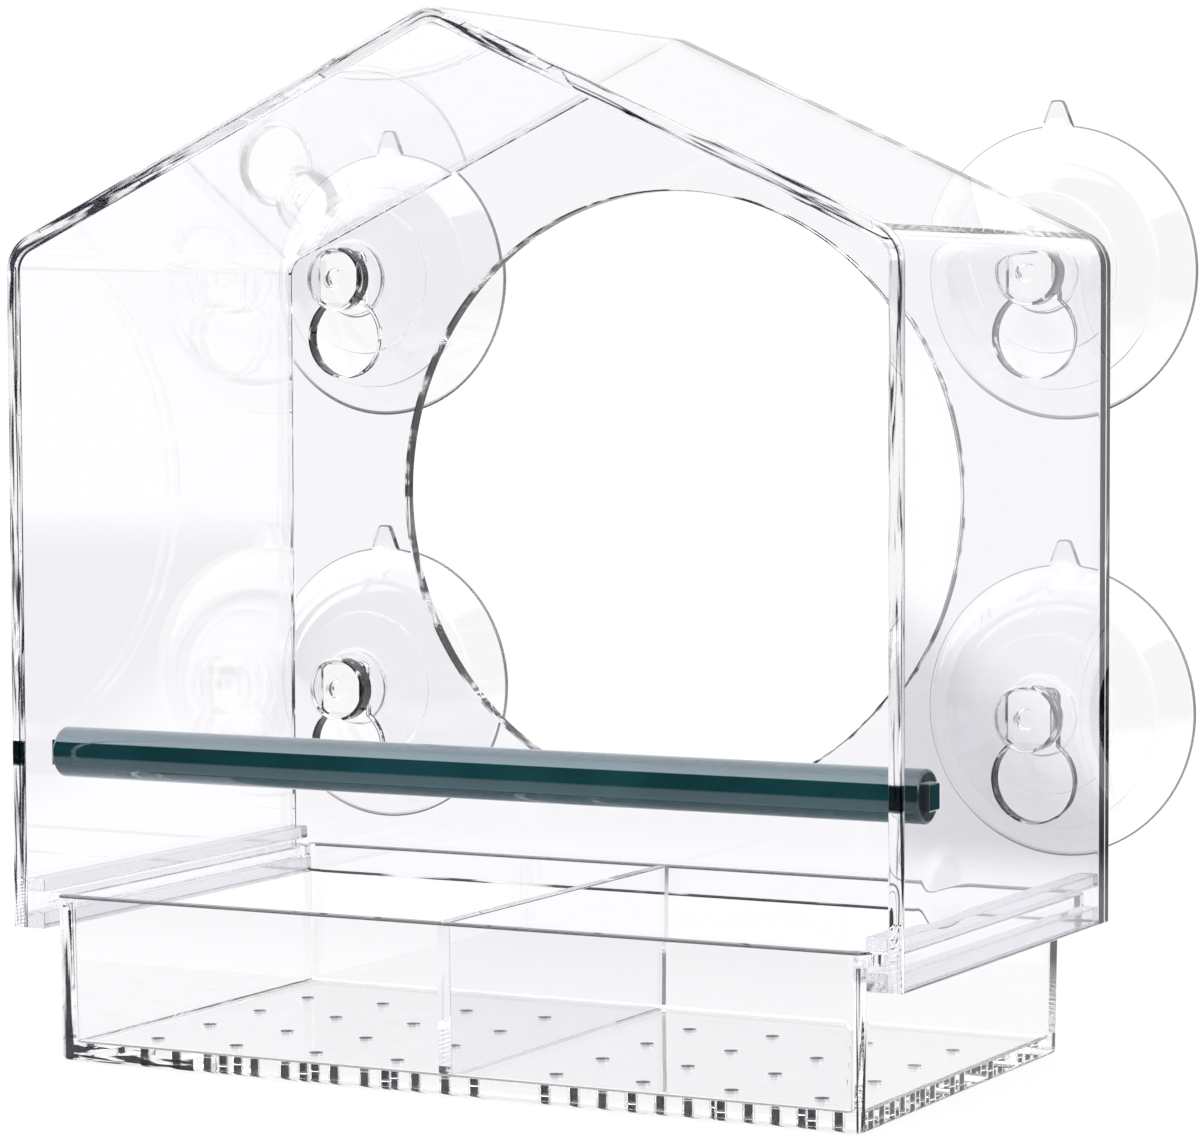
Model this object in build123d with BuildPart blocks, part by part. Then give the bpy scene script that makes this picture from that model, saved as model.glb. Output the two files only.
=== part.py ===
import os
from math import radians, tan

from build123d import *

os.makedirs("parts", exist_ok=True)

# A clear window bird feeder: a bent sheet house with a holed back panel, a tray that slides in
# rails under it, a round perch between the walls, and four suction cups in keyholes.
# Millimetres, +Z up, the open front towards -Y, the window towards +Y.
# The origin is the middle of the tray's underside.

# House shell: one sheet bent at both eaves and at the ridge
house_width = 152
house_depth = 81
sheet = 2.5
eave_height = 106.5
roof_rise = 35
bend_radius = 6
glue_film = 0.05
overrun = 1

# Back panel: the big round window and the keyholes for the cups
window_side_margin = 26
window_height = 66
keyhole_entry_diameter = 13.4
keyhole_drop = 10
keyhole_slot_clearance = 0.3

# Rails: two strips on each wall with the groove for the tray's lip between them
rail_width = 3.3
lower_rail_height = 2.7
groove_height = 3.1
upper_rail_height = 2.1

# Tray: an open box with a lip along each side
tray_length = 76.4
tray_height = 26
tray_wall = 2
tray_floor = 2.6
tray_draft = 1
tray_corner = 2
tray_inner_corner = 1
tray_back_gap = 0.6
tray_side_gap = 0.9
lip_thickness = 2.2
lip_reach = 3
lip_rest_gap = 0.3
lip_corner = 0.8
divider_thickness = 2.2

# Drain holes: the same grid in the floor of both halves of the tray
drain_diameter = 2
drain_rows = 4
drain_middle_margin = 13.8
drain_side_margin = 11.65
drain_front_margin = 12
drain_back_margin = 19.4

# Perch: a round rod with a square tenon at each end
perch_diameter = 8
perch_setback = 11
perch_height = 26.8
perch_end_gap = 0.1
perch_chamfer = 0.5
tenon_side = 3.9
tenon_clearance = 0.05

# Suction cups: a round knob and a squared neck through the panel, hub and dome behind it
cup_side_margin = 13.7
lower_cup_height = 32
upper_cup_height = 102.2
cup_diameter = 47
cup_depth = 12.8
cup_land = 1
cup_lip = 0.5
cup_hollow_depth = 7.8
cup_step = 0.6
first_ring_diameter = 25.6
first_ring_depth = 4.4
second_ring_diameter = 37.2
second_ring_depth = 7.6
hub_diameter = 12.6
hub_thickness = 1.6
neck_width = 7.1
neck_height = 8.3
neck_corner = 1
knob_diameter = 10.8
knob_thickness = 3
knob_chamfer = 0.4
dimple_diameter = 3.4
dimple_depth = 1.6
cup_panel_gap = 0.3
tab_root_width = 5
tab_tip_width = 2
tab_height = 4
tab_thickness = 1.2
tab_corner = 0.95

# Places that follow from the sizes above
roof_slope = roof_rise / (house_width / 2)
roof_cosine = 1 / (1 + roof_slope**2) ** 0.5
wall_bottom = tray_height - lip_thickness - lip_rest_gap - lower_rail_height
inner_half_width = house_width / 2 - sheet
tray_back = tray_length / 2
panel_front = tray_back + tray_back_gap
house_back = panel_front + sheet
house_front = house_back - house_depth
rail_inner = inner_half_width - glue_film - rail_width
tray_half_width = rail_inner - tray_side_gap
tray_width = 2 * tray_half_width
window_diameter = house_width - 2 * window_side_margin
slot_width = neck_width + 2 * keyhole_slot_clearance
slot_reach = neck_height / 2 + keyhole_slot_clearance
slot_corner = neck_corner + keyhole_slot_clearance
cup_heights = {"lower": wall_bottom + lower_cup_height, "upper": wall_bottom + upper_cup_height}
cup_reach = house_width / 2 - cup_side_margin
cup_sides = {"left": -cup_reach, "right": cup_reach}
drain_pitch_x = (tray_half_width - drain_middle_margin - drain_side_margin) / (drain_rows - 1)
drain_pitch_y = (tray_length - drain_front_margin - drain_back_margin) / (drain_rows - 1)
perch_y = house_front + perch_setback
perch_z = wall_bottom + perch_height
draft_tangent = tan(radians(tray_draft))


# Corner points of the house outline, set in from the outside by a distance
def house_points(inset):
    half = house_width / 2 - inset
    ridge = wall_bottom + eave_height + roof_rise - inset / roof_cosine
    eave = ridge - half * roof_slope
    return [(-half, wall_bottom), (-half, eave), (0, ridge), (half, eave), (half, wall_bottom)]


# House shell: the bent sheet, with a square hole through each wall for the perch
with BuildPart() as house_shell:
    with BuildSketch(Plane.XZ.offset(-house_back)):
        with BuildLine():
            outer = FilletPolyline(*house_points(0), radius=bend_radius)
            Line(outer @ 0, outer @ 1)
        make_face()
        with BuildLine():
            inner = FilletPolyline(*house_points(sheet), radius=bend_radius - sheet)
            Line(inner @ 0, inner @ 1)
        make_face(mode=Mode.SUBTRACT)
    extrude(amount=house_depth)
    with BuildSketch(Plane.YZ):
        with Locations((perch_y, perch_z)):
            Rectangle(tenon_side + 2 * tenon_clearance, tenon_side + 2 * tenon_clearance)
    extrude(amount=house_width / 2 + overrun, both=True, mode=Mode.SUBTRACT)
house_shell.part.label = "house_shell"
export_step(house_shell.part, "parts/house_shell.step")

# Back panel: set into the back of the shell, with the round window and four keyholes
with BuildPart() as back_panel:
    with BuildSketch(Plane.XZ.offset(-house_back)):
        with BuildLine():
            panel_inset = sheet + glue_film
            rim = FilletPolyline(*house_points(panel_inset), radius=bend_radius - panel_inset)
            Line(rim @ 0, rim @ 1)
        make_face()
        with Locations((0, wall_bottom + window_height)):
            Circle(window_diameter / 2, mode=Mode.SUBTRACT)
        for cup_x in cup_sides.values():
            for cup_z in cup_heights.values():
                with Locations((cup_x, cup_z - keyhole_drop)):
                    Circle(keyhole_entry_diameter / 2, mode=Mode.SUBTRACT)
                with Locations((cup_x, cup_z + (slot_reach - keyhole_drop) / 2)):
                    RectangleRounded(slot_width, keyhole_drop + slot_reach, slot_corner, mode=Mode.SUBTRACT)
    extrude(amount=sheet)
back_panel.part.label = "back_panel"
export_step(back_panel.part, "parts/back_panel.step")

# Rails: a lower and an upper strip bonded to the inside of each wall
rail_bottoms = {"lower": wall_bottom, "upper": wall_bottom + lower_rail_height + groove_height}
rail_heights = {"lower": lower_rail_height, "upper": upper_rail_height}
rail_length = panel_front - glue_film - house_front
for side, sign in {"left": -1, "right": 1}.items():
    for level, rail_bottom in rail_bottoms.items():
        with BuildPart() as rail:
            with BuildSketch(Plane.XY.offset(rail_bottom)):
                with Locations((sign * (rail_inner + rail_width / 2), house_front + rail_length / 2)):
                    Rectangle(rail_width, rail_length)
            extrude(amount=rail_heights[level])
        rail.part.label = f"{side}_{level}_rail"
        export_step(rail.part, f"parts/{side}_{level}_rail.step")

# Tray: a drafted box with a lip along each side and drain holes in its floor
with BuildPart() as tray:
    with BuildSketch(Plane.XY.offset(tray_height)) as box_outline:
        Rectangle(tray_width, tray_length)
        fillet(box_outline.vertices(), radius=tray_corner)
    extrude(amount=-tray_height, taper=tray_draft)
    with BuildSketch(Plane.XY.offset(tray_height)) as cavity_mouth:
        Rectangle(tray_width - 2 * tray_wall, tray_length - 2 * tray_wall)
        fillet(cavity_mouth.vertices(), radius=tray_inner_corner)
    extrude(amount=tray_floor - tray_height, taper=tray_draft, mode=Mode.SUBTRACT)
    with BuildSketch(Plane.XY.offset(tray_height)) as lips:
        for sign in (-1, 1):
            with Locations((sign * (tray_half_width + (lip_reach - tray_wall / 2) / 2), 0)):
                Rectangle(lip_reach + tray_wall / 2, tray_length - 2 * tray_corner)
        outer_vertices = lips.vertices().group_by(Axis.X)
        fillet(outer_vertices[0] + outer_vertices[-1], radius=lip_corner)
    extrude(amount=-lip_thickness)
    for sign in (-1, 1):
        grid_x = sign * (drain_middle_margin + tray_half_width - drain_side_margin) / 2
        grid_y = (drain_front_margin - drain_back_margin) / 2
        with Locations((grid_x, grid_y, tray_floor)):
            with GridLocations(drain_pitch_x, drain_pitch_y, drain_rows, drain_rows):
                Hole(drain_diameter / 2, depth=tray_floor)
tray.part.label = "tray"
export_step(tray.part, "parts/tray.step")

# Tray divider: a plate bonded across the middle of the tray, from front to back
divider_top_half = tray_length / 2 - tray_wall - glue_film
divider_bottom_half = divider_top_half - (tray_height - tray_floor) * draft_tangent
divider_foot = tray_floor + glue_film
with BuildPart() as tray_divider:
    with BuildSketch(Plane.YZ.offset(-divider_thickness / 2)):
        with BuildLine():
            Polyline(
                (-divider_bottom_half, divider_foot),
                (divider_bottom_half, divider_foot),
                (divider_top_half, tray_height),
                (-divider_top_half, tray_height),
                close=True,
            )
        make_face()
    extrude(amount=divider_thickness)
tray_divider.part.label = "tray_divider"
export_step(tray_divider.part, "parts/tray_divider.step")

# Perch: the rod between the walls and its two square tenons in their holes
perch_length = 2 * (inner_half_width - perch_end_gap)
with BuildPart() as perch:
    with BuildSketch(Plane.YZ.offset(-perch_length / 2)):
        with Locations((perch_y, perch_z)):
            Circle(perch_diameter / 2)
    extrude(amount=perch_length)
    chamfer(perch.edges().filter_by(GeomType.CIRCLE), length=perch_chamfer)
    with BuildSketch(Plane.YZ.offset(-house_width / 2)):
        with Locations((perch_y, perch_z)):
            Rectangle(tenon_side, tenon_side)
    extrude(amount=house_width)
perch.part.label = "perch"
export_step(perch.part, "parts/perch.step")

# Suction cups: each is one soft moulding, turned about its own axis, with a squared neck and a round knob
hub_front = cup_panel_gap
hub_back = hub_front + hub_thickness
cup_radius = cup_diameter / 2
hollow_radius = cup_radius - cup_land
hollow_sphere = (hollow_radius**2 + cup_hollow_depth**2) / (2 * cup_hollow_depth)
knob_back = -sheet - cup_panel_gap
for level, cup_z in cup_heights.items():
    for side, cup_x in cup_sides.items():
        cup_plane = Plane(origin=(cup_x, house_back, cup_z), x_dir=(0, 1, 0), z_dir=(1, 0, 0))
        with BuildPart() as suction_cup:
            with BuildSketch(cup_plane):
                with BuildLine():
                    Polyline(
                        (cup_depth - cup_hollow_depth, 0),
                        (hub_front, 0),
                        (hub_front, hub_diameter / 2),
                        (hub_back, hub_diameter / 2),
                        (first_ring_depth, first_ring_diameter / 2),
                        (first_ring_depth + cup_step, first_ring_diameter / 2),
                        (second_ring_depth, second_ring_diameter / 2),
                        (second_ring_depth + cup_step, second_ring_diameter / 2),
                        (cup_depth - cup_lip, cup_radius),
                        (cup_depth, cup_radius),
                        (cup_depth, hollow_radius),
                    )
                    RadiusArc(
                        (cup_depth, hollow_radius),
                        (cup_depth - cup_hollow_depth, 0),
                        -hollow_sphere,
                    )
                make_face()
            revolve(axis=Axis((cup_x, 0, cup_z), (0, 1, 0)))
            with BuildSketch(Plane.XZ.offset(-(house_back + hub_front))):
                with Locations((cup_x, cup_z)):
                    RectangleRounded(neck_width, neck_height, neck_corner)
            extrude(amount=hub_front - knob_back)
            with BuildSketch(Plane.XZ.offset(-(house_back + knob_back))):
                with Locations((cup_x, cup_z)):
                    Circle(knob_diameter / 2)
            extrude(amount=knob_thickness)
            chamfer(suction_cup.faces().sort_by(Axis.Y)[0].edges(), length=knob_chamfer)
            with Locations(Plane.XZ.offset(knob_thickness - house_back - knob_back)):
                with Locations((cup_x, cup_z)):
                    Hole(dimple_diameter / 2, depth=dimple_depth)
            with BuildSketch(Plane.XZ.offset(-(house_back + cup_depth))) as tab:
                with BuildLine():
                    Polyline(
                        (cup_x - tab_root_width / 2, cup_z + cup_radius - cup_land),
                        (cup_x + tab_root_width / 2, cup_z + cup_radius - cup_land),
                        (cup_x + tab_tip_width / 2, cup_z + cup_radius + tab_height),
                        (cup_x - tab_tip_width / 2, cup_z + cup_radius + tab_height),
                        close=True,
                    )
                make_face()
                fillet(tab.vertices().group_by(Axis.Z)[-1], radius=tab_corner)
            extrude(amount=tab_thickness)
        suction_cup.part.label = f"suction_cup_{level}_{side}"
        export_step(suction_cup.part, f"parts/suction_cup_{level}_{side}.step")
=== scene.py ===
import math

import bpy
import numpy as np
from mathutils import Matrix
from mathutils.geometry import delaunay_2d_cdt


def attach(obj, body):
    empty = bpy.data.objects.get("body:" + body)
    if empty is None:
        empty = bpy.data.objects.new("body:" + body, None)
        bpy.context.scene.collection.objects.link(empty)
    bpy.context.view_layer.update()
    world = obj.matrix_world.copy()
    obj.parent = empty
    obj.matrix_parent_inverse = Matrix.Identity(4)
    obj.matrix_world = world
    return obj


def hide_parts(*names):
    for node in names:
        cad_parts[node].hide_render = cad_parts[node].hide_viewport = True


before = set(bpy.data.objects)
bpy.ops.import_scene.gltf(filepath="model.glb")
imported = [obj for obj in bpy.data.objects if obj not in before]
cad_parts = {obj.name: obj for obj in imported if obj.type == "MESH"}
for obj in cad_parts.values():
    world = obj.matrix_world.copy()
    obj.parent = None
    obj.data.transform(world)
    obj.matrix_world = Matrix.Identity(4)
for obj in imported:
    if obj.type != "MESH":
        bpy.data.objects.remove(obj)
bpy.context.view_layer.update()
scene = bpy.context.scene
print("frame loaded")

# Everything below is worked out in millimetres and made metres when a mesh is built
mm = 0.001
right = np.array([1.0, 0.0, 0.0])
back = np.array([0.0, 1.0, 0.0])
up = np.array([0.0, 0.0, 1.0])


# Colours

def linearColour(hexText):
    # sRGB: under 0.04045 a straight line, above it a power of 2.4
    share = np.array([int(hexText[i:i + 2], 16) for i in (1, 3, 5)]) / 255
    linear = np.where(share <= 0.04045, share / 12.92, ((share + 0.055) / 1.055) ** 2.4)
    return (*linear.tolist(), 1.0)


def addNode(tree, kind, settings=None):
    # A setting is an attribute or a socket of the node, and a node or an output given to a socket is linked to it
    node = tree.nodes.new("ShaderNode" + kind)
    for name, value in (settings or {}).items():
        if isinstance(value, bpy.types.Node):
            value = value.outputs[0]
        if isinstance(value, bpy.types.NodeSocket):
            tree.links.new(value, node.inputs[name])
        elif isinstance(name, str) and hasattr(node, name):
            setattr(node, name, value)
        else:
            node.inputs[name].default_value = value
    return node


# Outlines

def unit(vectors):
    return vectors / np.linalg.norm(vectors, axis=-1, keepdims=True)


def roundedOutline(corners, radii, steps, closed=True):
    # Straight runs between corners, each corner an arc that touches both runs: centre plus radius times
    # (cos, sin) of evenly spaced angles. The normal points to the right of the way travelled.
    corners = np.asarray(corners, float)
    radii = np.broadcast_to(np.asarray(radii, float), len(corners))
    steps = np.broadcast_to(steps, len(corners))
    points, normals = [], []
    for i, corner in enumerate(corners):
        if not closed and i in (0, len(corners) - 1):
            way = unit(corners[1] - corners[0] if i == 0 else corners[-1] - corners[-2])
            points.append(corner[None])
            normals.append(np.array([[way[1], -way[0]]]))
            continue
        before = unit(corners[i - 1] - corner)
        after = unit(corners[(i + 1) % len(corners)] - corner)
        half = 0.5 * math.acos(np.clip(before @ after, -1, 1))
        centre = corner + unit(before + after) * radii[i] / math.sin(half)
        first = corner + before * radii[i] / math.tan(half) - centre
        last = corner + after * radii[i] / math.tan(half) - centre
        start = math.atan2(first[1], first[0])
        sweep = (math.atan2(last[1], last[0]) - start + math.pi) % (2 * math.pi) - math.pi
        angle = start + sweep * np.linspace(0, 1, steps[i] + 1)
        spoke = np.stack([np.cos(angle), np.sin(angle)], 1)
        points.append(centre + radii[i] * spoke)
        normals.append(spoke * math.copysign(1, sweep))
    points, normals = np.concatenate(points), np.concatenate(normals)
    fresh = np.linalg.norm(points - np.roll(points, 1, 0), axis=1) > 1e-7
    fresh[0] = fresh[0] or not closed
    return points[fresh], normals[fresh]


def holeOutline(centre, radius, count):
    # A circle run backwards, so that its normals point into the hole
    angle = -np.linspace(0, 2 * math.pi, count, endpoint=False)
    spoke = np.stack([np.cos(angle), np.sin(angle)], 1)
    return np.asarray(centre) + radius * spoke, -spoke


def softenedOutline(points, spacing, softness):
    # A closed run of points, spaced evenly and blurred along itself by a bell curve; normals from differences
    loop = np.vstack([points, points[:1]])
    way = np.r_[0, np.cumsum(np.linalg.norm(np.diff(loop, axis=0), axis=1))]
    count = int(way[-1] / spacing)
    spot = np.linspace(0, way[-1], count, endpoint=False)
    even = np.stack([np.interp(spot, way, loop[:, k]) for k in (0, 1)], 1)
    turn = np.fft.rfftfreq(count, way[-1] / count)
    bell = np.exp(-2 * (math.pi * turn * softness) ** 2)[:, None]
    even = np.fft.irfft(np.fft.rfft(even, axis=0) * bell, count, axis=0)
    ahead = unit(np.roll(even, -1, 0) - np.roll(even, 1, 0))
    return even, np.stack([ahead[:, 1], -ahead[:, 0]], 1)


# Patches: points with a normal and a spot on the sheet for each, the faces between them and a finish number

def patch(points, normals, faces, finish=0):
    points = np.asarray(points, float).reshape(-1, 3)
    normals = np.broadcast_to(normals, points.shape) if np.ndim(normals) == 1 else np.reshape(normals, (-1, 3))
    return {"points": points, "normals": normals, "faces": np.asarray(faces), "finish": finish,
            "spots": np.zeros((len(points), 2))}


def faceCentres(one):
    return one["points"][one["faces"]].mean(1)


def faceNormals(one):
    return one["normals"][one["faces"]].mean(1)


def parted(one, *choices):
    # A patch cut up by finish; the faces that no choice takes keep the patch's own
    rest = ~np.any([chosen for finish, chosen in choices], axis=0)
    return [{**one, "faces": one["faces"][chosen], "finish": finish}
            for finish, chosen in [(one["finish"], rest), *choices]]


def gridPatch(points, normals, finish=0):
    # Rows of points, each row closed on itself
    rows, columns = points.shape[:2]
    index = np.arange(rows * columns).reshape(rows, columns)
    index = np.hstack([index, index[:, :1]])
    faces = np.stack([index[:-1, :-1], index[:-1, 1:], index[1:, 1:], index[1:, :-1]], -1)
    return patch(points, normals, faces.reshape(-1, 4), finish)


def fanPatch(ring, middle, normal):
    # A ring closed to one point in its middle
    count = len(ring)
    index = np.arange(count)
    faces = np.stack([index, (index + 1) % count, np.full(count, count)], 1)
    return patch(np.vstack([ring, middle]), normal, faces)


def fillPatch(loops, lift, normal, finish=0):
    # A flat face with holes: its loops are the borders of a constrained triangulation, lifted into place
    flat = np.concatenate(loops)
    starts = np.r_[0, np.cumsum([len(loop) for loop in loops])]
    borders = [list(range(a, b)) for a, b in zip(starts[:-1], starts[1:])]
    found = delaunay_2d_cdt(flat.tolist(), [], borders, 2, 1e-7)
    origin = np.array([ids[0] for ids in found[3]])
    faces = [origin[list(face)] for face in found[2]]
    return [patch(lift(flat), normal, [face for face in faces if len(face) == length], finish)
            for length in sorted({len(face) for face in faces})]


def carryOutline(outline, places, axisU, axisV, along, inset, lean, finish=0):
    # Each station draws the outline in along its own normals, sets it on two axes at its place, and leans
    # the normals along the way: cosine of the lean times the outline's normal plus sine times the way.
    points, normals = outline
    inset, lean = (np.asarray(values, float)[:, None, None] for values in (inset, lean))
    flat = points[None] - inset * normals[None]
    axisU, axisV, along = (np.broadcast_to(a, (len(places), 3))[:, None] for a in (axisU, axisV, along))
    solid = np.asarray(places)[:, None] + flat[..., :1] * axisU + flat[..., 1:] * axisV
    turned = np.cos(lean) * (normals[None, :, :1] * axisU + normals[None, :, 1:] * axisV) + np.sin(lean) * along
    return gridPatch(solid, turned, finish)


def quarterRound(radius, steps=4):
    # A quarter circle from a flat end to a straight side: how deep, how far in, and how much it leans
    angle = np.linspace(math.pi / 2, 0, steps + 1)
    return radius * (1 - np.sin(angle)), radius * (1 - np.cos(angle)), angle


def roundedEnds(length, edge, steps=4):
    # Stations of a slab: depth, inset and lean, with a quarter circle at each end
    depth, inset, angle = quarterRound(edge, steps)
    return np.r_[depth, length - depth[::-1]], np.r_[inset, inset[::-1]], np.r_[-angle, angle[::-1]]


def slab(outline, holes, place, axisU, axisV, along, length, edge, faceFinish=0, edgeFinish=0):
    # An outline with holes carried straight along its thickness, with rounded edges and filled ends.
    # The first patches are the outline's edge and the holes' edges.
    outlines = [outline, *holes]
    depth, inset, lean = roundedEnds(length, edge)
    places = np.asarray(place) + depth[:, None] * along
    patches = [carryOutline(o, places, axisU, axisV, along, inset, lean, edgeFinish) for o in outlines]
    loops = [points - edge * normals for points, normals in outlines]
    for end, normal in ((0, -along), (-1, along)):
        patches += fillPatch(loops, lambda flat: places[end] + flat[:, :1] * axisU + flat[:, 1:] * axisV,
                             normal, faceFinish)
    return patches


weld = {"cellsPerMillimetre": 5000, "shift": 0.37}      # the shift keeps round sizes off the borders of the cells


def buildPiece(name, patches, materials, body, nodes):
    # Patches are welded where their points meet, turned to face along their normals and keep those normals
    points = np.concatenate([p["points"] for p in patches])
    normals = unit(np.concatenate([p["normals"] for p in patches]))
    spots = np.concatenate([p["spots"] for p in patches])
    starts = np.r_[0, np.cumsum([len(p["points"]) for p in patches])[:-1]]
    cells = np.round(points * weld["cellsPerMillimetre"] + weld["shift"]).astype(np.int64)
    keep, welded = np.unique(cells, axis=0, return_index=True, return_inverse=True)[1:]
    welded = welded.ravel()
    faces, corners, finishes = [], [], []
    for start, one in zip(starts, patches):
        face = one["faces"] + start
        first, second, third, last = (points[face[:, k]] for k in (0, 1, 2, -1))
        cross = np.cross(second - first, third - first) + np.cross(third - first, last - first)
        wrong = (cross * normals[face].sum(1)).sum(1) < 0
        face[wrong] = face[wrong][:, ::-1]
        faces += welded[face].tolist()
        corners.append(face.ravel())
        finishes.append(np.full(len(face), one["finish"]))
    corners = np.concatenate(corners)
    mesh = bpy.data.meshes.new(name)
    mesh.from_pydata((points[keep] * mm).tolist(), [], faces)
    sheet = mesh.uv_layers.new(name="sheet")
    sheet.uv.foreach_set("vector", (spots[corners] * mm).astype(np.float32).ravel())
    mesh.polygons.foreach_set("material_index", np.concatenate(finishes).astype(np.int32))
    mesh.polygons.foreach_set("use_smooth", np.ones(len(faces), bool))
    mesh.normals_split_custom_set(normals[corners].tolist())
    for material in materials:
        mesh.materials.append(material)
    mesh.update()
    piece = bpy.data.objects.new(name, mesh)
    scene.collection.objects.link(piece)
    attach(piece, body)
    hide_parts(*nodes)
    print("made", name, len(mesh.polygons), "faces")


# Materials

def newMaterial(name):
    material = bpy.data.materials.new(name)
    material.use_nodes = True
    material.node_tree.nodes.clear()
    return material, material.node_tree


def clearPlastic(name, look):
    # A clear plastic: refraction, a faint tint at each face and a slow waviness of its faces.
    # A cut edge may also have painted shade: dark streaks in its colour, standing in for where the light inside the
    # sheet is turned away from the eye.
    material, tree = newMaterial(name)
    source = addNode(tree, "TexCoord").outputs["UV" if look.get("onSheet") else "Object"]
    spread = addNode(tree, "Mapping", {"Vector": source, "Scale": look["patternScale"]})
    waves = addNode(tree, "TexNoise", {"Vector": spread, "Scale": 1.0, "Detail": 1.0})
    bump = addNode(tree, "Bump", {
        "Height": waves, "Strength": look["waveStrength"], "Distance": look["waveHeight"]})
    if "bulge" in look:
        # One heat-warped spot in the sheet, deeper than the waves and fading out round its middle
        bulge = look["bulge"]
        near, far = (v * mm for v in bulge["reach"])
        away = addNode(tree, "VectorMath", {
            "operation": "DISTANCE", 0: source, 1: [v * mm for v in bulge["middle"]]})
        fade = addNode(tree, "MapRange", {
            "interpolation_type": "SMOOTHSTEP", "Value": away.outputs["Value"],
            "From Min": near, "From Max": far, "To Min": 1.0, "To Max": 0.0})
        spread = addNode(tree, "Mapping", {"Vector": source, "Scale": bulge["patternScale"]})
        dents = addNode(tree, "TexNoise", {"Vector": spread, "Scale": 1.0, "Detail": 0.0})
        bump = addNode(tree, "Bump", {
            "Height": dents, "Strength": fade, "Distance": bulge["height"], "Normal": bump})
    colour = linearColour(look["colour"])
    if "streakScale" in look:
        spread = addNode(tree, "Mapping", {"Vector": source, "Scale": look["streakScale"]})
        height = addNode(tree, "TexNoise", {
            "Vector": spread, "Scale": 1.0, "Detail": 2.5, "Distortion": look["curl"]})
        if "alongSheet" in look:
            # How much painted shade the edge has, against the way along the sheet from the right foot to the left
            # foot
            way = addNode(tree, "SeparateXYZ", {"Vector": source})
            way = addNode(tree, "Math", {"operation": "MULTIPLY", 0: way, 1: 1 / (look["sheetLength"] * mm)})
            amount = addNode(tree, "ValToRGB", {"Fac": way})
            stops = amount.color_ramp.elements
            while len(stops) < len(look["alongSheet"]):
                stops.new(0.5)
            for stop, (spot, level) in zip(stops, look["alongSheet"]):
                stop.position, stop.color = spot, (level, level, level, 1)
            height = addNode(tree, "Math", {"operation": "ADD", 0: height, 1: amount})
        # The streaks mixed into the colour here are painted shade
        pale, dark = look["streakEdges"]
        mask = addNode(tree, "MapRange", {
            "interpolation_type": "SMOOTHSTEP", "Value": height, "From Min": pale, "From Max": dark})
        tone = addNode(tree, "Mix", {
            "data_type": "RGBA", "Factor": mask, 6: colour, 7: linearColour(look["streakColour"])})
        colour = tone.outputs[2]
    plastic = addNode(tree, "BsdfPrincipled", {
        "Base Color": colour, "Transmission Weight": 1.0, "IOR": look["ior"], "Roughness": look["roughness"],
        "Specular IOR Level": look["shine"], "Normal": bump})
    addNode(tree, "OutputMaterial", {"Surface": plastic})
    return material


# Cast acrylic sheet: almost no colour through 2.5 mm, so the eye finds it by its edges and its gloss
castSheet = {
    "colour": "#FDFCFF", "ior": 1.49, "roughness": 0.0, "shine": 0.26,
    "patternScale": (25, 25, 25), "waveStrength": 0.3, "waveHeight": 0.00012}
castAcrylic = clearPlastic("castAcrylicSheet", castSheet)
# The bent sheet has one warped spot low on its right wall, where the tray's back edge is seen as loops
bentAcrylic = clearPlastic("bentAcrylicSheet", {**castSheet, "bulge": {
    "middle": (76, -25, 31.5), "reach": (3, 10), "patternScale": (300, 45, 120), "height": 0.0012}})
# Its cut edges, sawn and flame polished: long soft ripples along the edge, and curling dark streaks of painted
# shade, most of them over the left eave
flamed = {
    **castSheet, "roughness": 0.01, "onSheet": True,
    "patternScale": (40, 600, 400), "waveHeight": 0.00003,
    "streakScale": (70, 1300, 1), "curl": 1.0, "streakEdges": (0.56, 0.70), "streakColour": "#0C0C12",
    "sheetLength": 379.0,
    "alongSheet": ((0.0, 0.07), (0.25, 0.05), (0.42, 0.02), (0.46, 0.10), (0.51, -0.02), (0.61, -0.04),
                   (0.665, 0.22), (0.72, 0.14), (0.75, 0.12), (1.0, 0.12))}
flamedEdgePaintedShade = clearPlastic("flamePolishedAcrylicEdgePaintedShade", flamed)
# The joint to the panel: painted shade, dark for long stretches on the right side, for the light led along inside
# the panel
jointPaintedShade = clearPlastic("acrylicJointPaintedShade", {
    **flamed, "ior": 1.05, "roughness": 0.02, "streakScale": (45, 250, 1), "curl": 0.6, "streakEdges": (0.50, 0.56),
    "streakColour": "#020203", "alongSheet": ((0.0, 0.20), (0.26, 0.16), (0.28, 0.0), (0.47, 0.0), (0.50, -0.4),
                                              (1.0, -0.4))})
# The rims of the window and the keyholes, routed and polished: short dark streaks of painted shade across the rim
routedRimPaintedShade = clearPlastic("routedAcrylicRimPaintedShade", {
    **castSheet, "roughness": 0.01, "streakScale": (180, 180, 180), "curl": 0.6, "streakEdges": (0.40, 0.54),
    "streakColour": "#101014"})
# The left arcs of the keyholes: rougher, and mostly dark with painted shade
keyholeArcPaintedShade = clearPlastic("acrylicKeyholeArcPaintedShade", {
    **castSheet, "roughness": 0.03, "shine": 0.1, "streakScale": (260, 260, 260), "curl": 1.0,
    "streakEdges": (0.32, 0.42), "streakColour": "#020203"})
# The foot of the panel, seen in the sheet from above: painted shade, near black for long stretches
panelFootPaintedShade = clearPlastic("sawnAcrylicPanelFootPaintedShade", {
    **castSheet, "ior": 1.05, "roughness": 0.02, "streakScale": (45, 120, 120), "curl": 0.2,
    "streakEdges": (0.36, 0.46), "streakColour": "#020203"})
# The strips of the rails, sawn from the same sheet: painted shade greys their colour, for how their four cut sides
# make them greyer than the wall
sawnStripPaintedShade = clearPlastic("sawnAcrylicStripPaintedShade", {**castSheet, "colour": "#EAEAEE", "roughness": 0.01})
# The two long rims of the divider's top: thin, and grey with painted shade
sawnRimPaintedShade = clearPlastic("sawnAcrylicRimPaintedShade", {**castSheet, "colour": "#08080C", "ior": 1.2})
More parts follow.
